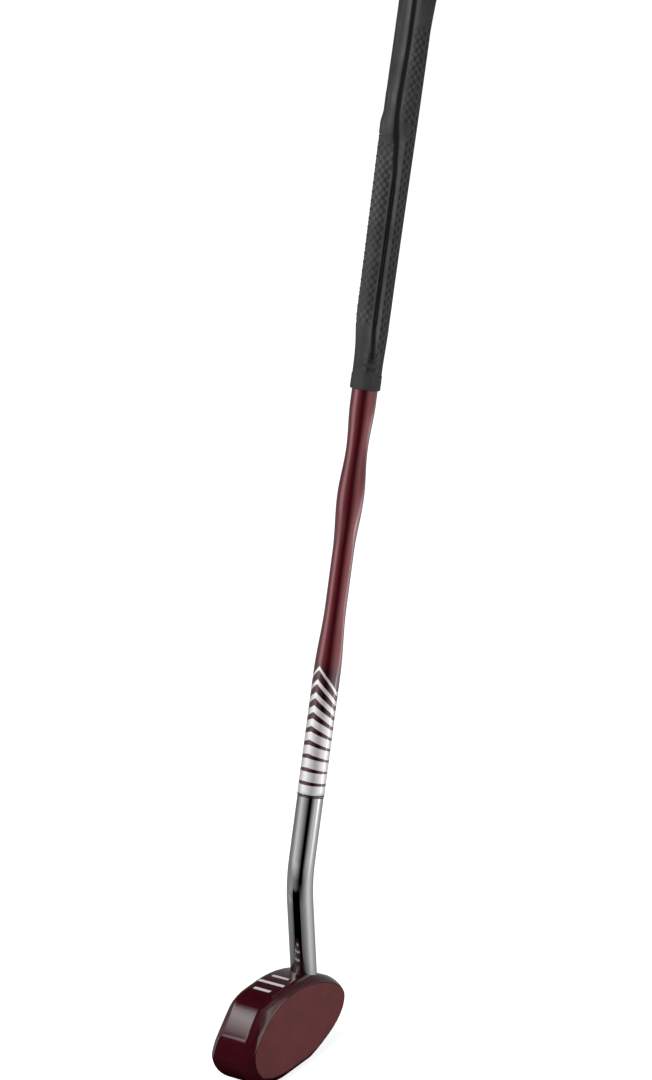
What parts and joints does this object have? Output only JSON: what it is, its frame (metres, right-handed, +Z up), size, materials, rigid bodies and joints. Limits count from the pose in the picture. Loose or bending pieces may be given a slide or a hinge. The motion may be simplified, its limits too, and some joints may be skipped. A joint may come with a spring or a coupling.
{
  "type": "ground golf club",
  "caption": "Short one-piece mallet club for ground golf: lacquered wooden head with a flat face sheet, bent plated neck, waisted shaft with chevron stripes and a rubber grip.",
  "frame": {"origin": "middle of the sole, where the head rests on the ground", "axes": "+Z up, -Y out of the striking face, +X from the toe to the heel, which is the player's side; the shaft leans 18 degrees from +Z towards +X"},
  "size_m": [0.3239, 0.0435, 0.789],
  "materials": {
    "head_lacquer": "dark wine red wood under a glossy clear lacquer",
    "face_sheet": "matt brown red sheet with a fine grain",
    "sole_brass": "satin",
    "screw_steel": "satin",
    "weight_steel": "plain turned steel",
    "neck_chrome": "polished plating",
    "plug_rubber": "matt",
    "ring_lacquer": "glossy dark wine",
    "spigot_aluminium": "plain",
    "shaft_lacquer": "glossy dark wine lacquer with white chevron stripes low down",
    "grip_tape": "thin cloth tape",
    "grip_rubber": "matt black, moulded dots and ribs",
    "cap_rubber": "matt black"
  },
  "bodies": {
    "root": {"head_block": "head_lacquer", "face_sheet": "face_sheet", "sole_plate": "sole_brass", "sole_screw_toe": "screw_steel", "sole_screw_heel": "screw_steel", "head_weight": "weight_steel", "neck_tube": "neck_chrome", "neck_plug": "plug_rubber", "joint_ring": "ring_lacquer", "joint_spigot": "spigot_aluminium", "shaft_tube": "shaft_lacquer", "grip_tape": "grip_tape", "grip_sleeve": "grip_rubber", "butt_cap": "cap_rubber"}
  },
  "joints": []
}
